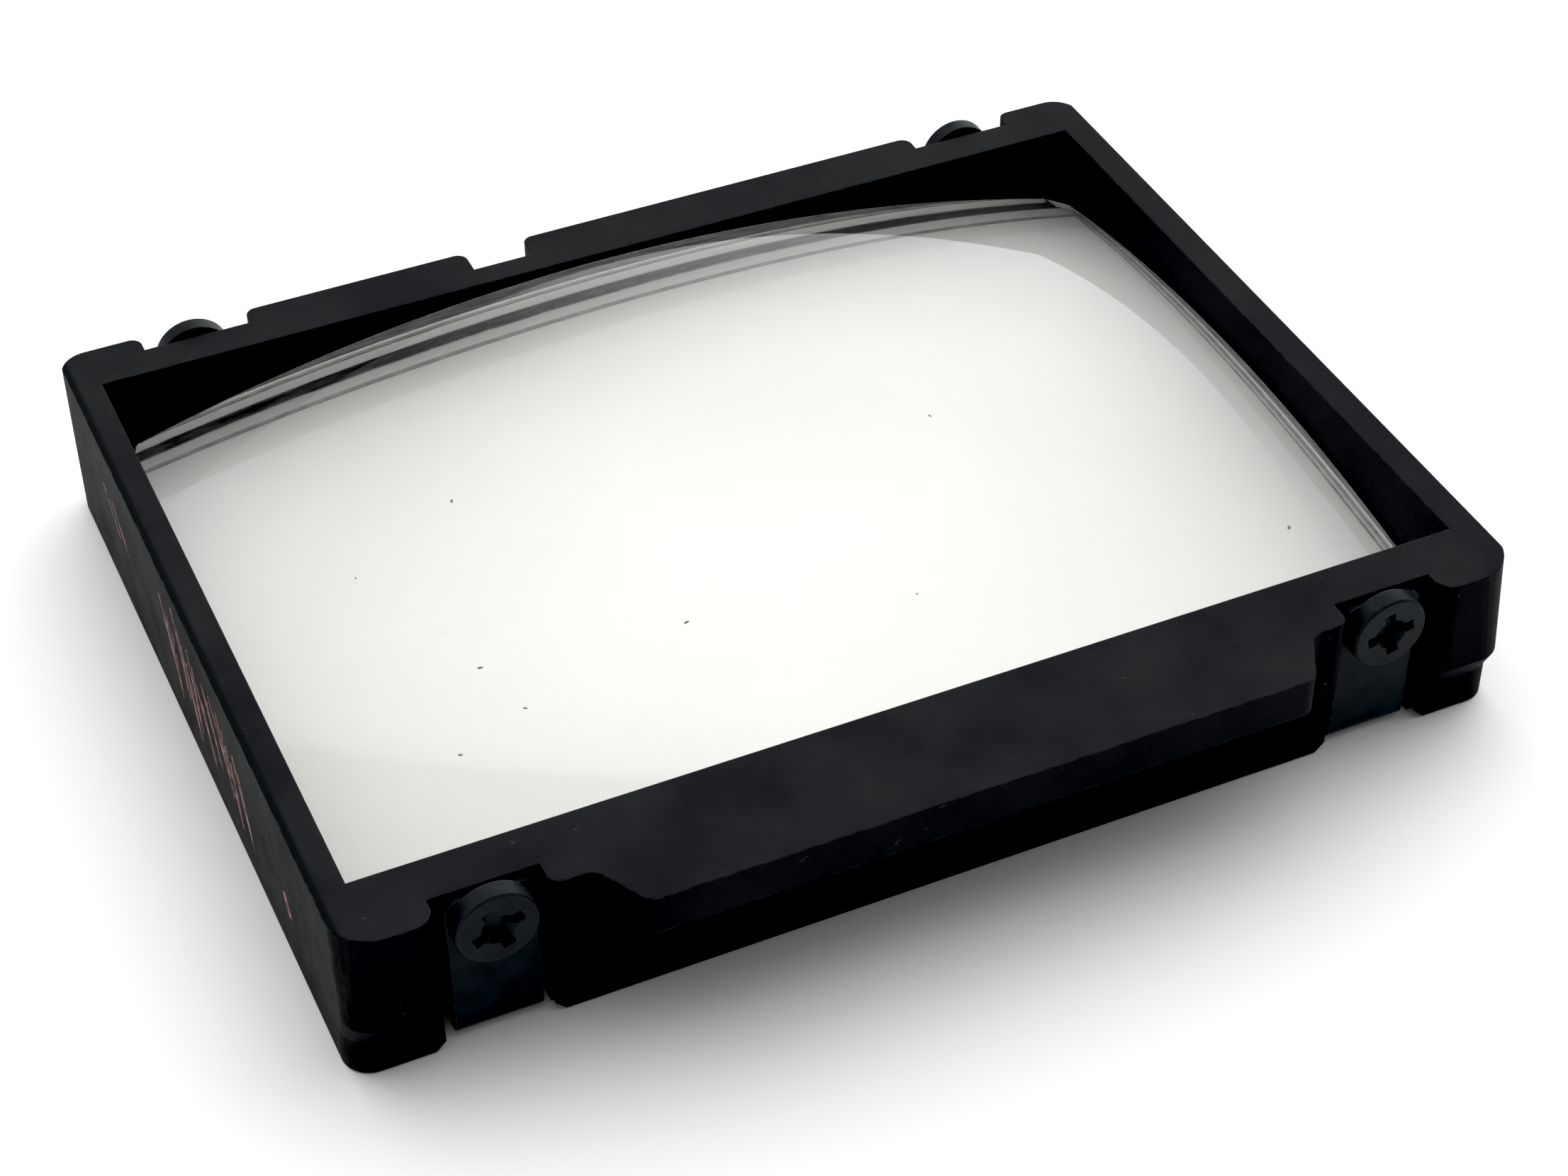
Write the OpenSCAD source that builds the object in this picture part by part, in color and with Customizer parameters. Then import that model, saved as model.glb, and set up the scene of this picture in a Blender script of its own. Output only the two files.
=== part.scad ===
// Drop-in focusing screen unit for a 6 x 4.5 reflex camera: a black frame with a domed field lens over
// a mask, a ring-grooved plate and a ground glass, held up into the frame by four screwed leaf clips.
// Millimetres, +Z up. The origin is on the optical axis, in the plane that the frame sits on.
// The long sides face -Y (front, with the finger lip) and +Y (back, with the locating tabs).

/* [Window and frame] */
// Length of the clear window
window_l = 56; // [54.5:0.5:56.5]
// Width of the clear window
window_w = 39; // [38:0.5:39.5]
// Length of the frame at its foot
frame_l = 59.3; // [59.2:0.1:60.5]
// Height of the frame
frame_h = 8.8; // [8.6:0.1:10]
// How far each end face leans in from foot to top
end_draft = 0.1; // [0:0.05:0.2]
// Front face of the proud blocks, measured from the optical axis
front_y = 23.3; // [23.2:0.1:24]
// Back face of the proud tabs, measured from the optical axis
back_y = 22.6; // [22.5:0.1:23.5]
// How far the foot of the frame is set back from the proud faces
foot_inset = 0.7; // [0.5:0.1:0.8]
// Corner radius of the proud outline
corner_r = 1.5; // [1.2:0.1:2]
// Corner radius of the front corners at the top face, from where it narrows to the proud outline's
top_corner_r = 2.3; // [2:0.1:3]
// Corner radius of the foot outline
foot_corner_r = 1.4; // [1.2:0.1:2]

/* [Finger lip] */
// Front edge of the lip, measured from the optical axis
lip_y = 26; // [25:0.1:28]
// Half width of the lip at its root
lip_root_x = 18; // [15:0.5:19]
// Half width of the lip at its front edge
lip_tip_x = 16.5; // [13:0.5:17]
// Thickness of the lip
lip_t = 2.1; // [1.5:0.1:3]
// Radius of the lip's front corners
lip_r = 0.8; // [0.4:0.1:1.2]
// Radius of the fillets at the lip's root
lip_fillet = 0.9; // [0.4:0.1:1.2]

/* [Notches] */
// Inner end of each front clip notch, measured from the middle of the long side
front_notch_x = 20; // [19.5:0.1:20.2]
// Inner end of each back clip notch
back_notch_x = 19.5; // [19.3:0.1:20.2]
// Outer end of each clip notch
notch_x1 = 25.2; // [25:0.05:25.6]
// Height of the slot under each notch, where the clip's foot turns in
slot_h = 1.4; // [0.9:0.1:1.6]
// Floor of the front clip notches, measured from the optical axis
front_floor = 21.9; // [21.7:0.05:22]
// Floor of the back clip notches, measured from the optical axis
back_floor = 21.45; // [21.3:0.05:21.6]
// Start of the locating notch in the back edge
key_x0 = -7.15; // [-8:0.05:-6]
// End of the locating notch in the back edge
key_x1 = -3.85; // [-5:0.05:-3]
// Floor of the locating notch, measured from the optical axis
key_floor = 20.95; // [20.8:0.05:21.2]
// Height of the locating notch, down from the top face
key_h = 5; // [4:0.5:6]
// Radius of the upright edges beside the notches
tab_r = 0.6; // [0.2:0.1:1]
// Radius of the upright edges of the front corner blocks
block_r = 1; // [0.4:0.1:1.2]

/* [Optical stack] */
// Radius of the field lens's dome
dome_r = 97; // [90:1:120]
// How far the top of the dome stands above the frame
dome_rise = 1.6; // [1:0.1:2]
// Depth of the shoulder that the lens flange rests against, below the frame's top face
shoulder_depth = 6.2; // [5.8:0.1:6.2]
// Thickness of the lens flange
flange_t = 0.45; // [0.4:0.05:0.5]
// Thickness of the black mask under the lens
mask_t = 0.1; // [0.05:0.05:0.15]
// How far the mask's opening stays inside the window at its ends
mask_end_overlap = 0.2; // [0.2:0.1:1]
// How far the mask's opening stays inside the window along its long sides
mask_side_overlap = 0.6; // [0.2:0.1:1]
// Thickness of the ring-grooved plate
grooved_t = 0.6; // [0.5:0.1:0.6]
// Thickness of the ground glass
glass_t = 0.9; // [0.8:0.1:0.9]
// Bevel across the corners of the lens
lens_bevel = 1.1; // [0.5:0.1:1.5]

/* [Clips and screws] */
// Distance of each screw from the middle of the long side
screw_x = 22.5; // [22.3:0.05:22.6]
// Depth of the screw axes below the frame's top face
screw_depth = 1.7; // [1.5:0.1:2]
// Radius of a screw's shank
shank_r = 1; // [0.9:0.05:1]
// Radius of a screw's head
head_r = 1.97; // [1.8:0.01:2.1]
// Height of a screw's head
head_h = 0.95; // [0.8:0.05:1]
// Thickness of the spring-steel clips
clip_t = 0.35; // [0.3:0.05:0.4]
// Width of the clips
clip_w = 4.15; // [4:0.05:4.5]
// Turn of the driver recess in each screw: front left, front right, back left, back right
recess_turn = [22, 10, 62, 17]; // [0:1:90]

/* [Hidden] */
$fn = 64;
FACET_FN = 32;      // arcs inside a hull
EPS = 0.01;         // a sliver: the layers of a hull, and small overlaps
OVER = 1;           // how far a cutter runs past what it cuts
FAR = 40;           // a distance outside the frame

gap = 0.03;         // between a clip and what it touches
fit_gap = 0.04;     // round a screw's shank in the frame
clip_fit_gap = 0.08; // round a screw's shank in its clip
stack_gap = 0.1;    // round the optical stack in its rabbet
lens_gap = 0.15;    // round the lens in the window

rabbet_l = window_l + 1.2;
rabbet_w = window_w + 2;
shoulder_z = frame_h - shoulder_depth;
lens_z = shoulder_z - gap - flange_t;
mask_z = lens_z - mask_t;
grooved_z = mask_z - grooved_t;
glass_z = grooved_z - glass_t;
foot_top_z = glass_z - gap;
foot_z = foot_top_z - clip_t;
screw_z = frame_h - screw_depth;

// The proud faces slope back to the foot between these heights below the top face
mid_slope = [3.9, 5.4];
corner_slope = [5.5, 6.8];
foot_bevel = 0.35;  // bevel at the foot of the upright edges beside the notches

clip_reach = 0.45;       // how far a clip's foot reaches under the ground glass
clip_bend_r = 0.3;       // inside radius of a clip's bend
clip_corner_r = 0.7;     // radius of a clip's upper corners
clip_drop = 0.3;         // a clip's top edge below the frame's top face

shank_tip = 0.1;         // a shank's end inside the window wall
shank_bevel = 0.3;       // bevel at a shank's end
head_bevel = 0.12;       // bevel round a head's edge
recess_l = 2.5;          // span of the driver recess
recess_w = 0.62;         // width of its wings
recess_flare = 0.85;     // radius of its middle at the head's face
recess_d = 0.6;          // depth of its wings

// A rectangle with four round corners, between two x and two y values
module rounded_rect(x0, x1, y0, y1, r) {
    translate([x0 + r, y0]) square([x1 - x0 - 2 * r, y1 - y0]);
    translate([x0, y0 + r]) square([x1 - x0, y1 - y0 - 2 * r]);
    for (x = [x0 + r, x1 - r], y = [y0 + r, y1 - r])
        translate([x, y]) circle(r);
}

// A flat shape made solid between two heights
module slab(z0, z1) {
    translate([0, 0, z0]) linear_extrude(z1 - z0) children();
}

// A shape drawn in (y, z), made solid between two x values
module along_x(x0, x1) {
    translate([x0, 0, 0]) rotate([90, 0, 90]) linear_extrude(x1 - x0) children();
}

// A box centred on the optical axis, between two heights
module centred_box(l, w, z0, z1) {
    translate([-l / 2, -w / 2, z0]) cube([l, w, z1 - z0]);
}

// ---- main frame ----

module foot_outline(r) {
    rounded_rect(-frame_l / 2, frame_l / 2, -front_y + foot_inset, back_y - foot_inset, r);
}

// The corner block outline: the frame's own outline beyond x, held between two y values
module corner_outline(x, y0, y1, r, edge_r) {
    intersection() {
        rounded_rect(-frame_l / 2, frame_l / 2, y0, y1, r);
        rounded_rect(x, frame_l, y0, y1, edge_r);
    }
}

// One thin layer of a front corner block, its face at -y, at a depth below the top face
module front_layer(depth, y, r) {
    slab(frame_h - depth, frame_h - depth + EPS)
        corner_outline(notch_x1, -y, 0, r, block_r, $fn = FACET_FN);
}

// The proud corner blocks of one end: the front one is rounder at the top and slopes back to the foot
module corner_blocks() {
    slab(0, frame_h) corner_outline(notch_x1, OVER, back_y, corner_r, tab_r);
    hull() {
        front_layer(EPS, front_y, top_corner_r);
        front_layer(corner_slope[0], front_y, corner_r);
    }
    hull() {
        front_layer(corner_slope[0], front_y, corner_r);
        front_layer(corner_slope[1], front_y - foot_inset, foot_corner_r);
    }
}

// A proud band along a long side between two x values, its outer face at y (front: side = -1, back: 1)
module proud_band(x0, x1, y, side) {
    intersection() {
        along_x(x0, x1)
            polygon([[0, frame_h], [side * y, frame_h], [side * y, frame_h - mid_slope[0]],
                     [side * (y - foot_inset), frame_h - mid_slope[1]], [0, frame_h - mid_slope[1]]]);
        slab(0, frame_h)
            if (side < 0) rounded_rect(x0, x1, -y, OVER, tab_r);
            else rounded_rect(x0, x1, -OVER, y, tab_r);
    }
}

// Unit normal of the lip's slanted side, pointing into the lip, and the centre of its round corner
lip_run = [lip_tip_x - lip_root_x, front_y - lip_y];
lip_n = [lip_run[1], -lip_run[0]] / norm(lip_run);
lip_c = [lip_root_x + (lip_r - (lip_r + front_y - lip_y) * lip_n[1]) / lip_n[0], lip_r - lip_y];
lip_t_pt = lip_c - lip_r * lip_n;

// Centre of the right-hand root fillet, and where its arc meets the lip's slanted side
fillet_y = -front_y - lip_fillet;
fillet_x = lip_root_x + (-lip_fillet - (fillet_y + front_y) * lip_n[1]) / lip_n[0];
fillet_t_pt = [fillet_x, fillet_y] + lip_fillet * lip_n;

// The fillet between the lip's slanted side and the band, on the right
module root_fillet() {
    difference() {
        polygon([[lip_root_x - OVER, -front_y + EPS], [fillet_x, -front_y + EPS],
                 [fillet_x, fillet_y], fillet_t_pt]);
        translate([fillet_x, fillet_y]) circle(lip_fillet);
    }
}

module finger_lip() {
    slab(frame_h - lip_t, frame_h) {
        root_fillet();
        mirror([1, 0]) root_fillet();
        polygon([[lip_root_x, -front_y + OVER], [lip_root_x, -front_y], lip_t_pt, lip_c, [lip_c[0], -lip_y],
                 [-lip_c[0], -lip_y], [-lip_c[0], lip_c[1]], [-lip_t_pt[0], lip_t_pt[1]],
                 [-lip_root_x, -front_y], [-lip_root_x, -front_y + OVER]]);
        for (s = [-1, 1]) translate([s * lip_c[0], lip_c[1]]) circle(lip_r);
    }
}

// The clip notch with its bevelled foot, the slot for the clip's foot and the screw hole, at one corner
module clip_seat(sx, side, inner_x, floor_y) {
    x0 = sx > 0 ? inner_x : -notch_x1;
    w = notch_x1 - inner_x;
    y0 = side > 0 ? floor_y : -FAR;
    translate([x0, y0, -OVER]) cube([w, FAR - floor_y, frame_h + 2 * OVER]);
    for (x = [x0, x0 + w])
        translate([x, y0, 0]) rotate([0, 45, 0])
            translate([-foot_bevel, 0, -foot_bevel]) cube([2 * foot_bevel, FAR - floor_y, 2 * foot_bevel]);
    translate([x0, side > 0 ? 0 : -FAR, -OVER]) cube([w, FAR, OVER + slot_h]);
    translate([sx * screw_x, 0, screw_z]) rotate([-90 * side, 0, 0])
        cylinder(h = FAR, r = shank_r + fit_gap);
}

module main_frame() {
    color([0.14, 0.14, 0.15])
    difference() {
        intersection() {
            union() {
                slab(0, frame_h - corner_slope[1]) foot_outline(foot_corner_r);
                slab(0, frame_h) foot_outline(top_corner_r);
                corner_blocks();
                mirror([1, 0, 0]) corner_blocks();
                proud_band(-front_notch_x, front_notch_x, front_y, -1);
                proud_band(-back_notch_x, key_x0, back_y, 1);
                proud_band(key_x1, back_notch_x, back_y, 1);
                finger_lip();
            }
            rotate([90, 0, 0]) linear_extrude(2 * FAR, center = true)
                polygon([[-frame_l / 2, 0], [frame_l / 2, 0],
                         [frame_l / 2 - end_draft, frame_h], [-frame_l / 2 + end_draft, frame_h]]);
        }
        centred_box(window_l, window_w, -OVER, frame_h + OVER);
        centred_box(rabbet_l, rabbet_w, -OVER, shoulder_z);
        translate([key_x0, key_floor, frame_h - key_h]) cube([key_x1 - key_x0, FAR, FAR]);
        for (sx = [-1, 1]) {
            clip_seat(sx, -1, front_notch_x, front_floor);
            clip_seat(sx, 1, back_notch_x, back_floor);
        }
    }
}

// ---- optical stack ----

// A rectangle with bevelled corners
module bevelled_rect(l, w, bevel) {
    x = l / 2;
    y = w / 2;
    polygon([[-x + bevel, -y], [x - bevel, -y], [x, -y + bevel], [x, y - bevel],
             [x - bevel, y], [-x + bevel, y], [-x, y - bevel], [-x, -y + bevel]]);
}

module field_lens() {
    color([0.92, 0.94, 0.95, 0.5]) {
        slab(lens_z, lens_z + flange_t)
            bevelled_rect(rabbet_l - 2 * stack_gap, rabbet_w - 2 * stack_gap, lens_bevel);
        intersection() {
            slab(lens_z + flange_t, frame_h + dome_rise + OVER)
                bevelled_rect(window_l - 2 * lens_gap, window_w - 2 * lens_gap, lens_bevel);
            translate([0, 0, frame_h + dome_rise - dome_r]) sphere(dome_r, $fn = 256);
        }
    }
}

module mask_spacer() {
    color([0.08, 0.08, 0.08])
    difference() {
        centred_box(rabbet_l - 2 * stack_gap, rabbet_w - 2 * stack_gap, mask_z, mask_z + mask_t);
        centred_box(window_l - 2 * mask_end_overlap, window_w - 2 * mask_side_overlap,
                    mask_z - OVER, frame_h);
    }
}

module grooved_plate() {
    color([0.9, 0.92, 0.93, 0.6])
    centred_box(rabbet_l - 2 * stack_gap, rabbet_w - 2 * stack_gap, grooved_z, grooved_z + grooved_t);
}

module ground_glass() {
    color([0.88, 0.9, 0.9])
    centred_box(rabbet_l - 2 * stack_gap, rabbet_w - 2 * stack_gap, glass_z, glass_z + glass_t);
}

// ---- clips ----

// A leaf clip drawn for the back: the leaf stands against a floor at y, and the foot turns in under the glass
module back_clip(floor_y) {
    y_in = floor_y + gap;
    y_out = y_in + clip_t;
    r_out = clip_bend_r + clip_t;
    foot_end = rabbet_w / 2 - stack_gap - clip_reach;
    top = frame_h - clip_drop;
    color([0.17, 0.17, 0.18])
    difference() {
        intersection() {
            along_x(-clip_w / 2, clip_w / 2) {
                translate([y_in, foot_z + r_out]) square([clip_t, top - foot_z - r_out]);
                translate([foot_end, foot_z]) square([y_out - r_out - foot_end, clip_t]);
                intersection() {
                    difference() {
                        translate([y_out - r_out, foot_z + r_out]) circle(r_out);
                        translate([y_out - r_out, foot_z + r_out]) circle(clip_bend_r);
                    }
                    translate([y_out - r_out, foot_z]) square(r_out);
                }
            }
            rotate([90, 0, 0]) linear_extrude(2 * FAR, center = true)
                rounded_rect(-clip_w / 2, clip_w / 2, -FAR, top, clip_corner_r);
        }
        translate([0, 0, screw_z]) rotate([-90, 0, 0]) cylinder(h = FAR, r = shank_r + clip_fit_gap);
    }
}

// Turns a piece drawn for the back to the corner that it belongs to
module at_corner(sx, side) {
    translate([sx * screw_x, 0, 0]) rotate([0, 0, side > 0 ? 0 : 180]) children();
}

module front_left_clip() at_corner(-1, -1) back_clip(front_floor);
module front_right_clip() at_corner(1, -1) back_clip(front_floor);
module back_left_clip() at_corner(-1, 1) back_clip(back_floor);
module back_right_clip() at_corner(1, 1) back_clip(back_floor);

// ---- screws ----

// A cross-recess screw standing on its seat plane, head up
module screw(shank_l, turn) {
    color([0.3, 0.31, 0.32])
    difference() {
        rotate_extrude()
            polygon([[0, -shank_l], [shank_r - shank_bevel, -shank_l], [shank_r, -shank_l + shank_bevel],
                     [shank_r, 0], [head_r, 0], [head_r, head_h - head_bevel],
                     [head_r - head_bevel, head_h], [0, head_h]]);
        rotate([0, 0, turn]) {
            for (a = [0, 90])
                rotate([0, 0, a])
                    translate([-recess_l / 2, -recess_w / 2, head_h - recess_d])
                        cube([recess_l, recess_w, OVER]);
            translate([0, 0, head_h - recess_d])
                cylinder(h = recess_d, r1 = recess_w / 2, r2 = recess_flare);
        }
    }
}

// A screw drawn for the back: its seat is the outer face of a clip on a floor at y
module back_screw(floor_y, turn) {
    seat_y = floor_y + clip_t + 2 * gap;
    translate([0, seat_y, screw_z]) rotate([-90, 0, 0])
        screw(seat_y - window_w / 2 - shank_tip, turn);
}

module front_left_screw() at_corner(-1, -1) back_screw(front_floor, recess_turn[0]);
module front_right_screw() at_corner(1, -1) back_screw(front_floor, recess_turn[1]);
module back_left_screw() at_corner(-1, 1) back_screw(back_floor, recess_turn[2]);
module back_right_screw() at_corner(1, 1) back_screw(back_floor, recess_turn[3]);

main_frame();
field_lens();
mask_spacer();
grooved_plate();
ground_glass();
front_left_clip();
front_right_clip();
back_left_clip();
back_right_clip();
front_left_screw();
front_right_screw();
back_left_screw();
back_right_screw();
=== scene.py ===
import math
import random

import bmesh
import bpy
from mathutils import Matrix, Vector


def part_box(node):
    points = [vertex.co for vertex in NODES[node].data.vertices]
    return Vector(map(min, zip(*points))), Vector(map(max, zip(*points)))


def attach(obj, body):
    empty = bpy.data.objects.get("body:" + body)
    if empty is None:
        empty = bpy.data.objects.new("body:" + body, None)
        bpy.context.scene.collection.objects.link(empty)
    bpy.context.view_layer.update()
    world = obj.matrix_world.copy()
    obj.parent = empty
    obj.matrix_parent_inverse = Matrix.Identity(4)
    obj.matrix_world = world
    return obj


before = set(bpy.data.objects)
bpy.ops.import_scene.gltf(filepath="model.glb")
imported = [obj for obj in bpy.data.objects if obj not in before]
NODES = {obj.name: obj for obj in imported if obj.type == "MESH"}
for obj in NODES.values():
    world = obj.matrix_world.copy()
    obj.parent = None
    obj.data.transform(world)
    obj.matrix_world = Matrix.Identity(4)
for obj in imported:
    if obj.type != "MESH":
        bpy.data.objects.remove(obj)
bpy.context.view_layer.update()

MM = 0.001
FRAME_LOW, FRAME_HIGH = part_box("main_frame")
FRAME_TOP = FRAME_HIGH.z
END_DRAFT = 0.1 * MM        # each end leans in by this much from the foot to the top face
LENS_LOW, LENS_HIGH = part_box("field_lens")
LENS_HALF_L = 27.85 * MM    # the lens's body, which is smaller than its flange
LENS_HALF_W = 19.35 * MM
LENS_BEVEL = 1.2 * MM       # across the upright corners of the body
DOME_R = 97 * MM

CAMERA_PLACE = Vector((-49.58, -114.21, 98.91)) * MM    # from the middle of the frame's top face
CAMERA_FORWARD = (0.30861, 0.69038, -0.65432)
CAMERA_RIGHT = (0.90992, -0.41470, -0.00839)
SENSOR_MM = 36
FOCAL_MM = 73.24

SKY_WAY = (0.35, 0.75, 0.56)        # where the light is strongest: high at the back right
WINDOW_WAY = (0.5, 0.84, 0.22)      # the bright patch that the black parts and the lens mirror
BLACK_LEVEL = 0.012                 # tones up to this one turn black

DUST_SEED = 7
TICK_SEED = 3


# ---- camera ----

def make_camera():
    """Looks at the unit from the front left, about 41 degrees above the table."""
    forward = Vector(CAMERA_FORWARD).normalized()
    right = Vector(CAMERA_RIGHT)
    right = (right - forward * right.dot(forward)).normalized()
    up = right.cross(forward)
    data = bpy.data.cameras.new("camera")
    data.sensor_width = SENSOR_MM
    data.lens = FOCAL_MM
    data.clip_start = 0.01
    data.clip_end = 10
    camera = bpy.data.objects.new("camera", data)
    place = CAMERA_PLACE + Vector((0, 0, FRAME_TOP))
    camera.matrix_world = Matrix.Translation(place) @ Matrix((right, up, -forward)).transposed().to_4x4()
    bpy.context.scene.collection.objects.link(camera)
    bpy.context.scene.camera = camera


# ---- node helpers ----

def linear(*rgb):
    """An 8-bit screen colour as a linear one."""
    shares = [channel / 255 for channel in rgb]
    return tuple(v / 12.92 if v <= 0.04045 else ((v + 0.055) / 1.055) ** 2.4 for v in shares)


class Graph:
    """A node tree, with short ways to add and join nodes."""

    def __init__(self, tree):
        self.tree = tree

    def node(self, kind, inputs=None, **settings):
        made = self.tree.nodes.new("ShaderNode" + kind)
        for key, value in settings.items():
            setattr(made, key, value)
        for key, value in (inputs or {}).items():
            self.put(made.inputs[key], value)
        return made

    def put(self, socket, value):
        """Joins a socket or a node's first output to the socket, or sets a plain value on it."""
        if isinstance(value, bpy.types.NodeSocket):
            self.tree.links.new(value, socket)
        elif isinstance(value, bpy.types.Node):
            self.tree.links.new(value.outputs[0], socket)
        else:
            socket.default_value = value

    def noise(self, scale, detail=3.0, rough=0.5, at=None):
        place = at or self.node("TexCoord").outputs["Object"]
        return self.node("TexNoise", {"Vector": place, "Scale": scale, "Detail": detail,
                                      "Roughness": rough}).outputs["Fac"]

    def ramp(self, fac, low, high, at=(0.0, 1.0)):
        """A colour from low to high, as fac goes between the two stops."""
        made = self.node("ValToRGB", {"Fac": fac})
        for stop, colour, where in zip(made.color_ramp.elements, (low, high), at):
            stop.position = where
            stop.color = (*colour, 1)
        return made.outputs["Color"]

    def range(self, value, low, high, to_low, to_high, **settings):
        return self.node("MapRange", {"Value": value, "From Min": low, "From Max": high,
                                      "To Min": to_low, "To Max": to_high}, **settings).outputs["Result"]

    def mix(self, fac, colour, other):
        """A colour, turned into the other one by fac. Each may be a plain linear colour."""
        made = self.node("Mix", data_type="RGBA")
        self.put(made.inputs["Factor"], fac)
        for socket, value in ((made.inputs[6], colour), (made.inputs[7], other)):
            self.put(socket, (*value, 1) if isinstance(value, tuple) else value)
        return made.outputs[2]

    def math(self, operation, a, b=0.0, **settings):
        return self.node("Math", {0: a, 1: b}, operation=operation, **settings).outputs[0]

    def dot(self, a, b):
        return self.node("VectorMath", {0: a, 1: b}, operation="DOT_PRODUCT").outputs["Value"]

    def xyz(self):
        """The place on the part, in metres, in the frame's own axes."""
        return self.node("SeparateXYZ", {0: self.node("TexCoord").outputs["Object"]}).outputs

    def stretched(self, x_scale, y_scale):
        """The place with x and y scaled, which draws a noise out along them."""
        x, y, z = self.xyz()
        return self.node("CombineXYZ", {0: self.math("MULTIPLY", x, x_scale),
                                        1: self.math("MULTIPLY", y, y_scale), 2: z})


class Surface(Graph):
    """A material's graph, which ends in a Principled shader."""

    def __init__(self, name):
        self.material = bpy.data.materials.new(name)
        self.material.use_nodes = True
        super().__init__(self.material.node_tree)
        self.bsdf = self.tree.nodes["Principled BSDF"]
        self.output = self.tree.nodes["Material Output"]

    def set(self, **values):
        for key, value in values.items():
            self.put(self.bsdf.inputs[key.replace("_", " ")], value)

    def bump(self, height, strength, distance, normal):
        return self.node("Bump", {"Height": height, "Strength": strength, "Distance": distance,
                                  "Normal": normal}).outputs["Normal"]

    def rounded(self, radius):
        """The normal of edges rounded to a radius, and how near an edge is, from 0 to 1."""
        bevel = self.node("Bevel", {"Radius": radius}, samples=6).outputs[0]
        flat = self.node("NewGeometry").outputs["True Normal"]
        return bevel, self.range(self.dot(bevel, flat), 0.995, 0.8, 0.0, 1.0)


# ---- materials ----

def black_plastic():
    """Satin black moulding: darker in front by painted shade, paler and rougher on its left end, worn at the
    edges, where a painted highlight also lightens them.
    """
    g = Surface("frame_black")
    x, y, z = g.xyz()
    mottle = g.noise(180, 4, 0.6)
    top = g.ramp(mottle, linear(28, 29, 32), linear(36, 37, 39), (0.35, 0.65))

    # painted shade: the upright faces in front of the window are darker, and the lip's front edge only partly
    # so, as they face away from the light
    shaded_walls = g.ramp(mottle, linear(17, 18, 21), linear(25, 26, 29), (0.35, 0.65))
    up = g.node("SeparateXYZ", {0: g.node("NewGeometry").outputs["True Normal"]}).outputs[2]
    before_window = g.range(y, -20.3 * MM, -20.6 * MM, 0.0, 1.0)
    behind_lip = g.range(y, -24.6 * MM, -24.0 * MM, 0.45, 1.0)
    painted_shade_in_front = g.math("MULTIPLY", before_window, behind_lip)
    body = g.mix(g.math("MULTIPLY", painted_shade_in_front, g.range(up, 0.8, 0.4, 0.0, 1.0)), top, shaded_walls)

    # the left end: a paler skin with a dark, ragged border under the top face
    skin = g.ramp(g.noise(650, 4, 0.75), linear(10, 12, 13), linear(31, 32, 30), (0.38, 0.6))
    ragged = g.math("ADD", z, g.range(g.noise(420, 4, 0.7), 0.3, 0.7, -1.1 * MM, 1.1 * MM))
    border = g.range(ragged, FRAME_TOP - 1.1 * MM, FRAME_TOP - 1.3 * MM, 0.0, 1.0)
    left_end = g.mix(border, linear(18, 21, 23), skin)
    on_left_end = g.range(x, -29.1 * MM, -29.3 * MM, 0.0, 1.0)
    colour = g.mix(on_left_end, body, left_end)

    normal, edge = g.rounded(0.12 * MM)
    # lighter edges: partly wear, partly a painted highlight where the rounded edges catch the light
    wear_and_painted_highlight = g.math("MULTIPLY", edge, g.range(g.noise(1600, 3, 0.7), 0.45, 0.65, 0.1, 0.9))
    colour = g.mix(wear_and_painted_highlight, colour, linear(62, 68, 72))
    specks = g.range(g.noise(2600, 1, 0.5), 0.77, 0.8, 0.0, 0.22)
    colour = g.mix(specks, colour, linear(84, 88, 88))
    grain = g.noise(5200, 2, 0.6)
    g.set(Base_Color=colour, Roughness=g.range(mottle, 0.3, 0.7, 0.5, 0.62), Specular_IOR_Level=0.04,
          Normal=g.bump(grain, 0.5, 0.02 * MM, normal))
    return g.material


def clip_steel():
    """Blued spring steel, its edges lightened partly by wear and partly by a painted glint."""
    g = Surface("clip_black")
    brush = g.noise(900, 2, 0.5)
    colour = g.ramp(brush, linear(20, 25, 28), linear(31, 37, 41), (0.3, 0.7))
    normal, edge = g.rounded(0.07 * MM)
    # lighter edges: partly wear, partly a painted glint
    rubbed_and_painted_glint = g.math("MULTIPLY", edge, g.range(g.noise(2400, 3, 0.7), 0.45, 0.6, 0.0, 1.0))
    g.set(Base_Color=g.mix(rubbed_and_painted_glint, colour, linear(92, 108, 114)), Specular_IOR_Level=0.12,
          Roughness=g.range(brush, 0.3, 0.7, 0.34, 0.5),
          Normal=g.bump(g.noise(3000, 2), 0.2, 0.01 * MM, normal))
    return g.material


def screw_steel():
    """Blackened steel: worn on the head's edges, with a painted glint there too, and darker where the screw
    reaches into the window, which is painted shade.
    """
    g = Surface("screw_black")
    tone = g.noise(700, 3, 0.6)
    colour = g.ramp(tone, linear(22, 26, 30), linear(35, 39, 42), (0.3, 0.7))
    normal, edge = g.rounded(0.08 * MM)
    # lighter edges: partly wear, partly a painted glint
    rubbed_and_painted_glint = g.math("MULTIPLY", edge, g.range(g.noise(2600, 3, 0.7), 0.42, 0.6, 0.1, 0.9))
    colour = g.mix(rubbed_and_painted_glint, colour, linear(88, 94, 98))
    # painted shade: darker where the screw pokes into the window
    from_middle = g.math("ABSOLUTE", g.xyz()[1])
    painted_shade_shank = g.range(from_middle, 20.9 * MM, 20.4 * MM, 0.0, 1.0)
    g.set(Base_Color=g.mix(painted_shade_shank, colour, linear(15, 17, 21)), Specular_IOR_Level=0.12,
          Roughness=g.range(tone, 0.3, 0.7, 0.35, 0.5),
          Normal=g.bump(g.noise(4000, 2), 0.2, 0.01 * MM, normal))
    return g.material


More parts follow.
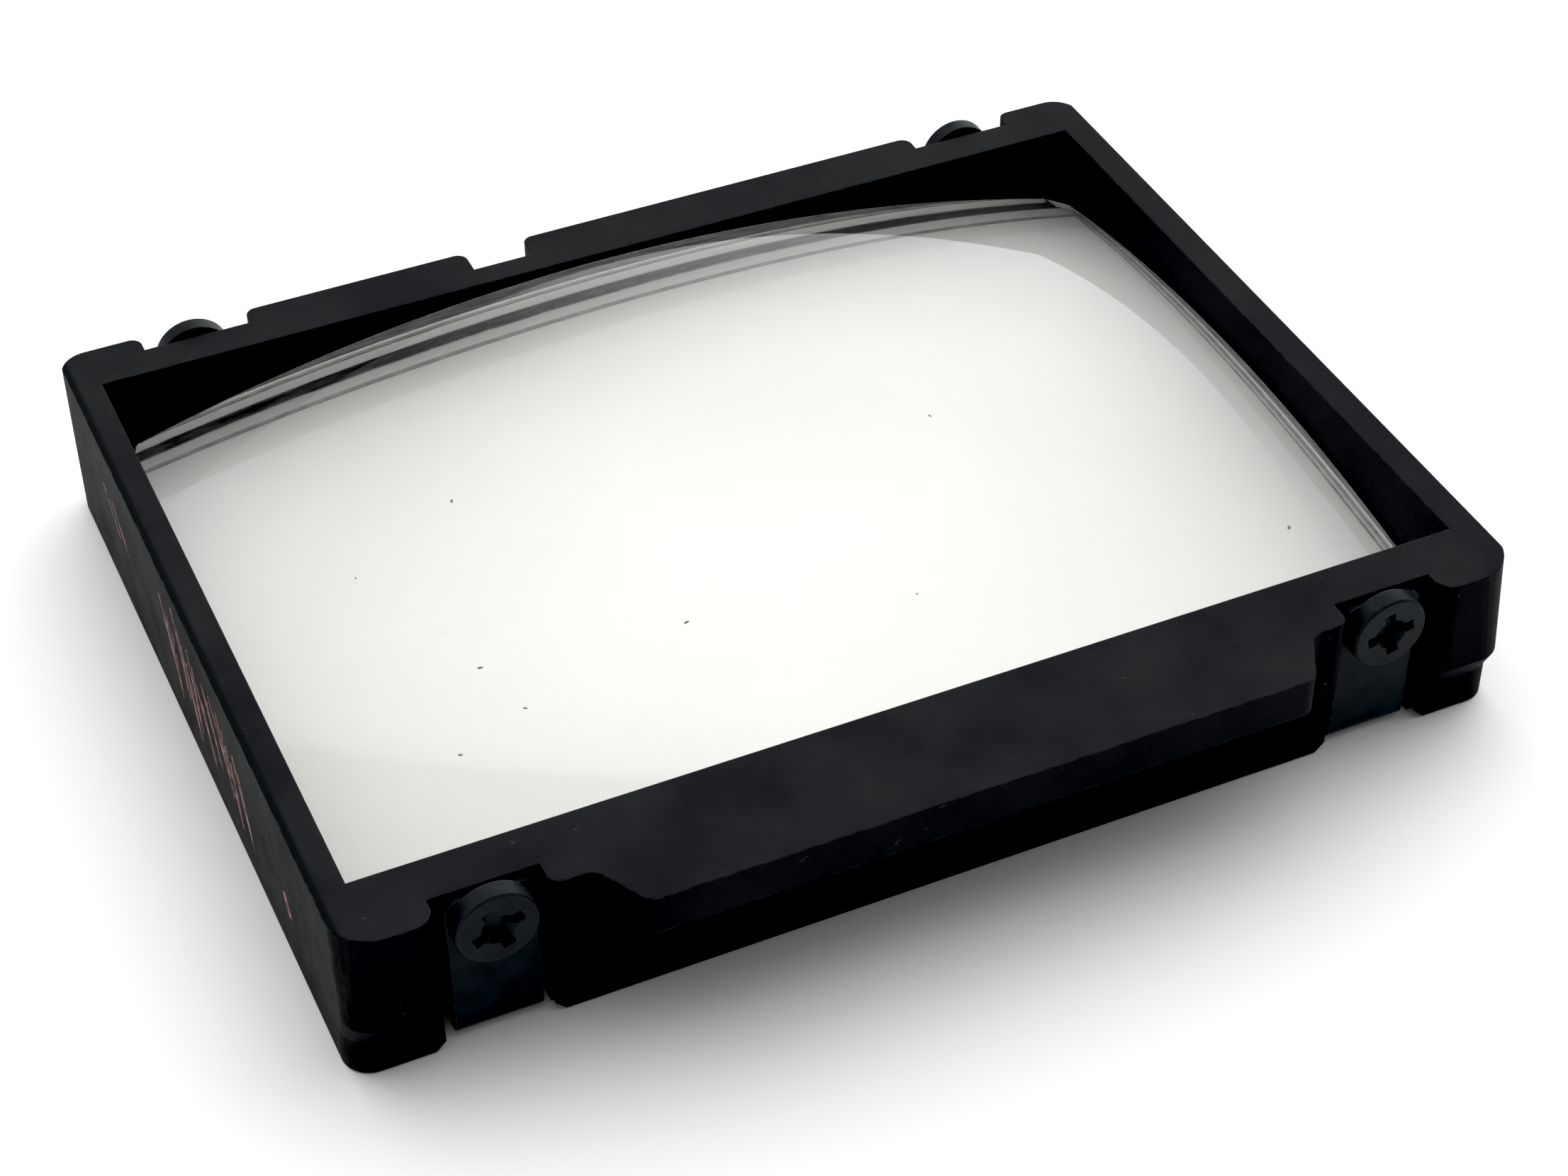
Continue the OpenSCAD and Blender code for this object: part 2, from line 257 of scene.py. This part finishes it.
def lens_glass():
    """Coated clear glass, which casts no shadow on the plate under it."""
    g = Surface("field_lens")
    g.set(Base_Color=(0.985, 0.99, 0.985, 1), Roughness=0.0, Transmission_Weight=1, IOR=1.49,
          Specular_Tint=(0.15, 0.16, 0.18, 1))
    is_shadow = g.node("LightPath").outputs["Is Shadow Ray"]
    clear = g.node("BsdfTransparent")
    g.put(g.output.inputs["Surface"], g.node("MixShader", {0: is_shadow, 1: g.bsdf, 2: clear}))
    return g.material


def frosted(name):
    """A frosted plate, with painted light: its colour is brightest near the middle and falls off outwards,
    standing in for the light the field lens gathers there.
    """
    g = Surface(name)
    x, y, _ = g.xyz()
    # painted light: the colour falls off outwards from a middle set off to the right and back
    across = g.math("SUBTRACT", x, 3 * MM)
    back = g.math("SUBTRACT", y, 2.5 * MM)
    out = g.math("SQRT", g.math("ADD", g.math("MULTIPLY", across, across), g.math("MULTIPLY", back, back)))
    painted_light_distance = g.math("ADD", out, g.range(g.noise(60, 2), 0.3, 0.7, -2.0 * MM, 2.0 * MM))
    fall = g.range(painted_light_distance, 8 * MM, 34 * MM, 0.0, 1.0)
    colour = g.ramp(fall, linear(209, 208, 205), linear(186, 186, 184))
    frost = g.range(g.noise(6000, 2, 0.6), 0.3, 0.7, 0.0, 0.012)
    g.set(Base_Color=g.mix(frost, colour, (0.2, 0.2, 0.2)), Roughness=0.9, Specular_IOR_Level=0.1)
    return g.material


def mask_black():
    """Thin mask, streaked where its cement shows through the lens, given pale streaks as painted light
    against the shade under the lens's edge, and paler towards the right end, where more painted light lifts
    the shade of the frame's corner.
    """
    g = Surface("mask_black")
    streak = g.noise(1100, 4, 0.65, g.stretched(0.35, 1.0))
    # painted light: streaks far paler than a black mask, lifting the shade it lies in
    colour = g.ramp(streak, linear(108, 108, 111), linear(196, 196, 194), (0.38, 0.62))
    # painted light: paler towards the right end, where the frame shades the mask most
    painted_light_rightwards = g.range(g.xyz()[0], 2 * MM, 24 * MM, 0.0, 1.0)
    g.set(Base_Color=g.mix(painted_light_rightwards, colour, linear(240, 240, 238)), Roughness=0.7, Specular_IOR_Level=0.2)
    return g.material


def lens_side_band():
    """A grey band for the lens's side, with thin lines along it."""
    g = Surface("lens_side_band")
    lines = g.noise(2600, 3, 0.7, g.stretched(0.12, 0.12))
    patch = g.noise(500, 3, 0.6)
    tone = g.math("ADD", g.math("MULTIPLY", lines, 0.65), g.math("MULTIPLY", patch, 0.35))
    g.set(Base_Color=g.ramp(tone, linear(84, 85, 87), linear(150, 151, 150), (0.36, 0.64)), Roughness=0.8)
    return g.material


def plain_paint(name, low, high, scale):
    """A matt colour that wanders between two tones."""
    g = Surface(name)
    tone = g.noise(scale, 3, 0.7)
    g.set(Base_Color=g.ramp(tone, linear(*low), linear(*high), (0.35, 0.65)), Roughness=0.7,
          Specular_IOR_Level=0.1)
    return g.material


def dress_cad():
    """Each CAD node's material."""
    plates = {"field_lens": lens_glass(), "mask_spacer": mask_black(),
              "grooved_plate": frosted("grooved_plate"), "ground_glass": frosted("ground_glass")}
    frame_black, clip, screw = black_plastic(), clip_steel(), screw_steel()
    for name, node in NODES.items():
        material = plates.get(name)
        if material is None:
            material = clip if name.endswith("_clip") else screw if name.endswith("_screw") else frame_black
        node.data.materials.clear()
        node.data.materials.append(material)


# ---- fine pieces ----

def mesh_of(name, verts, faces):
    mesh = bpy.data.meshes.new(name)
    mesh.from_pydata(verts, [], faces)
    mesh.update()
    return mesh


def add_piece(name, mesh, material, thick=0.0):
    """A piece that rides on the frame. A sheet is given a thickness, half to each side."""
    piece = bpy.data.objects.new(name, mesh)
    bpy.context.scene.collection.objects.link(piece)
    mesh.materials.append(material)
    if thick:
        solidify = piece.modifiers.new("thickness", "SOLIDIFY")
        solidify.thickness = thick
        solidify.offset = 0
    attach(piece, "frame")


def dome_z(x, y):
    """Height of the lens's domed face over a place in its outline."""
    return LENS_HIGH.z - DOME_R + math.sqrt(DOME_R ** 2 - x ** 2 - y ** 2)


def side_sheet(name, side, long_side, low_edge, below_dome, material):
    """A thin sheet just inside a side face of the lens, from its low edge up to just below the dome."""
    inset = 0.01 * MM
    least = 0.05 * MM
    steps = 64
    half, reach = (LENS_HALF_L, LENS_HALF_W) if long_side else (LENS_HALF_W, LENS_HALF_L)
    half -= LENS_BEVEL
    out = side * (reach - inset)
    verts = []
    for step in range(steps + 1):
        along = -half + 2 * half * step / steps
        x, y = (along, out) if long_side else (out, along)
        high = dome_z(x, y) - below_dome
        verts += [(x, y, min(low_edge(high), high - least)), (x, y, high)]
    faces = [(2 * i, 2 * i + 2, 2 * i + 3, 2 * i + 1) for i in range(steps)]
    add_piece(name, mesh_of(name, verts, faces), material, 0.006 * MM)


def lens_edges():
    """Grey bands on the lens's sides, and a painted highlight: the bright thin line where each meets the
    dome.
    """
    rim_gap = 0.02 * MM
    rim_depth = 0.13 * MM
    long_low, short_low = 5.8 * MM, 4.2 * MM
    grey = lens_side_band()
    # painted highlight: a pale strip along the top of each side stands in for the light on the dome's rim
    bright = plain_paint("painted_highlight_rim", (130, 131, 130), (184, 185, 184), 3000)
    sides = {"back": (1, True), "front": (-1, True), "left": (-1, False), "right": (1, False)}
    for name, (side, long_side) in sides.items():
        band_low = long_low if long_side else short_low
        side_sheet("lens_side_band_" + name, side, long_side, lambda high: band_low, rim_gap + rim_depth, grey)
        side_sheet("painted_highlight_rim_" + name, side, long_side, lambda high: high - rim_depth, rim_gap, bright)


def format_line():
    """A fine grey line round the picture area, in the gap between the lens and the plate."""
    low, high = LENS_LOW.z - 0.08 * MM, LENS_LOW.z - 0.04 * MM
    half_l, half_w = 27.65 * MM, 17.88 * MM
    line_x, line_y = 0.07 * MM, 0.14 * MM
    verts = []
    for grow in (1, -1):
        for z in (low, high):
            for sx, sy in ((-1, -1), (1, -1), (1, 1), (-1, 1)):
                verts.append((sx * (half_l + grow * line_x), sy * (half_w + grow * line_y), z))
    faces = []
    for i in range(4):
        j = (i + 1) % 4
        outer, inner = (i, j, 4 + j, 4 + i), (8 + j, 8 + i, 12 + i, 12 + j)
        upper, lower = (4 + i, 4 + j, 12 + j, 12 + i), (j, i, 8 + i, 8 + j)
        faces += [outer, inner, upper, lower]
    grey = plain_paint("line_grey", (128, 128, 126), (156, 156, 153), 900)
    add_piece("format_line", mesh_of("format_line", verts, faces), grey)


def paint_ticks():
    """Plain hand-painted ticks and a dot on the frame's left end, with no lettering."""
    draw = random.Random(TICK_SEED)
    proud = 0.012 * MM
    count = 11
    first_y, first_z = 4.6 * MM, 7.3 * MM
    step_y, step_z = 1.17 * MM, 0.14 * MM
    verts, faces = [], []

    def end_x(z):
        return FRAME_LOW.x + END_DRAFT * max(z, 0) / FRAME_TOP

    def stroke(y0, z0, y1, z1, wide):
        """A straight stroke of paint between two places on the end, as a thin block."""
        along = Vector((y1 - y0, z1 - z0)).normalized() * wide / 2
        across = Vector((-along.y, along.x))
        start = len(verts)
        for depth in (-proud, proud):
            for y, z, way in ((y0, z0, 1), (y0, z0, -1), (y1, z1, -1), (y1, z1, 1)):
                py, pz = y + across.x * way, z + across.y * way
                verts.append((end_x(pz) - depth, py, pz))
        block = [(0, 1, 2, 3), (7, 6, 5, 4)] + [(i, i + 4, (i + 1) % 4 + 4, (i + 1) % 4) for i in range(4)]
        faces.extend(tuple(start + i for i in face) for face in block)

    for y in (15.0 * MM, 13.4 * MM):
        stroke(y, 6.2 * MM, y - 2.4 * MM, 4.3 * MM, 0.18 * MM)
    for i in range(count):
        y = first_y - step_y * i
        z = first_z - step_z * i + draw.uniform(-0.8, 0.8) * MM
        lean, fall = draw.uniform(0.9, 2.1) * MM, draw.uniform(2.6, 4.4) * MM
        stroke(y, z, y - lean, z - fall, draw.uniform(0.1, 0.24) * MM)
        stroke(y - 0.7 * MM, z - 0.5 * MM, y - 0.2 * MM - lean, z - 1.1 * fall, draw.uniform(0.08, 0.18) * MM)
    stroke(-14.2 * MM, 4.0 * MM, -14.9 * MM, 2.9 * MM, 0.5 * MM)
    paint = plain_paint("tick_paint", (84, 66, 68), (184, 144, 144), 1900)
    add_piece("paint_ticks", mesh_of("paint_ticks", verts, faces), paint)


def dust():
    """A few small specks lying on the dome, none at its middle."""
    draw = random.Random(DUST_SEED)
    count = 12
    clear_r = 7 * MM
    specks = bmesh.new()
    for _ in range(count):
        x = draw.uniform(-0.85, 0.85) * LENS_HALF_L
        y = draw.uniform(-0.8, 0.8) * LENS_HALF_W
        if math.hypot(x, y) < clear_r:
            continue
        size = draw.uniform(0.05, 0.11) * MM
        speck = bmesh.ops.create_icosphere(specks, subdivisions=2, radius=size)["verts"]
        turn = Matrix.Rotation(draw.uniform(0, math.pi), 4, "Z")
        shape = Matrix.Translation((x, y, dome_z(x, y))) @ turn @ Matrix.Diagonal((1.7, 0.8, 0.4, 1))
        bmesh.ops.transform(specks, matrix=shape, verts=speck)
    mesh = bpy.data.meshes.new("dust_specks")
    specks.to_mesh(mesh)
    specks.free()
    grey = plain_paint("dust_grey", (96, 94, 88), (140, 138, 132), 4000)
    add_piece("dust_specks", mesh, grey)


# ---- table, light ----

def make_floor():
    """A white table top, just under the part."""
    half = 3.0
    drop = 0.1 * MM
    corners = [(-half, -half, 0), (half, -half, 0), (half, half, 0), (-half, half, 0)]
    mesh = mesh_of("floor", corners, [(0, 1, 2, 3)])
    floor = bpy.data.objects.new("floor", mesh)
    floor.location.z = -drop
    bpy.context.scene.collection.objects.link(floor)
    g = Surface("floor")
    g.set(Base_Color=(0.9, 0.9, 0.9, 1), Roughness=0.9, Specular_IOR_Level=0.0)
    mesh.materials.append(g.material)


def make_world():
    """Soft light from all round, fading low in front. Gloss mirrors a dimmer sky with one bright patch."""
    world = bpy.data.worlds.new("world")
    bpy.context.scene.world = world
    world.use_nodes = True
    g = Graph(world.node_tree)
    way = g.node("TexCoord").outputs["Generated"]
    sky = g.range(g.dot(way, SKY_WAY), 0.0, 0.95, 0.32, 2.65, interpolation_type="SMOOTHSTEP")
    patch = g.range(g.dot(way, WINDOW_WAY), 0.9, 1.0, 0.45, 1.9, interpolation_type="SMOOTHSTEP")
    ray = g.node("LightPath").outputs
    mirrored = g.math("SUBTRACT", ray["Is Glossy Ray"], ray["Is Transmission Ray"], use_clamp=True)
    background = g.tree.nodes["Background"]
    background.inputs["Color"].default_value = (1, 1, 1, 1)
    g.put(background.inputs["Strength"], g.node("Mix", {"Factor": mirrored, "A": sky, "B": patch}))


def look():
    """Plain tones, with the deepest shadows taken down to black."""
    view = bpy.context.scene.view_settings
    view.view_transform = "Standard"
    view.look = "None"
    view.use_curve_mapping = True
    view.curve_mapping.black_level = (BLACK_LEVEL,) * 3


make_camera()
dress_cad()
lens_edges()
format_line()
paint_ticks()
dust()
make_floor()
make_world()
look()

bpy.context.view_layer.update()
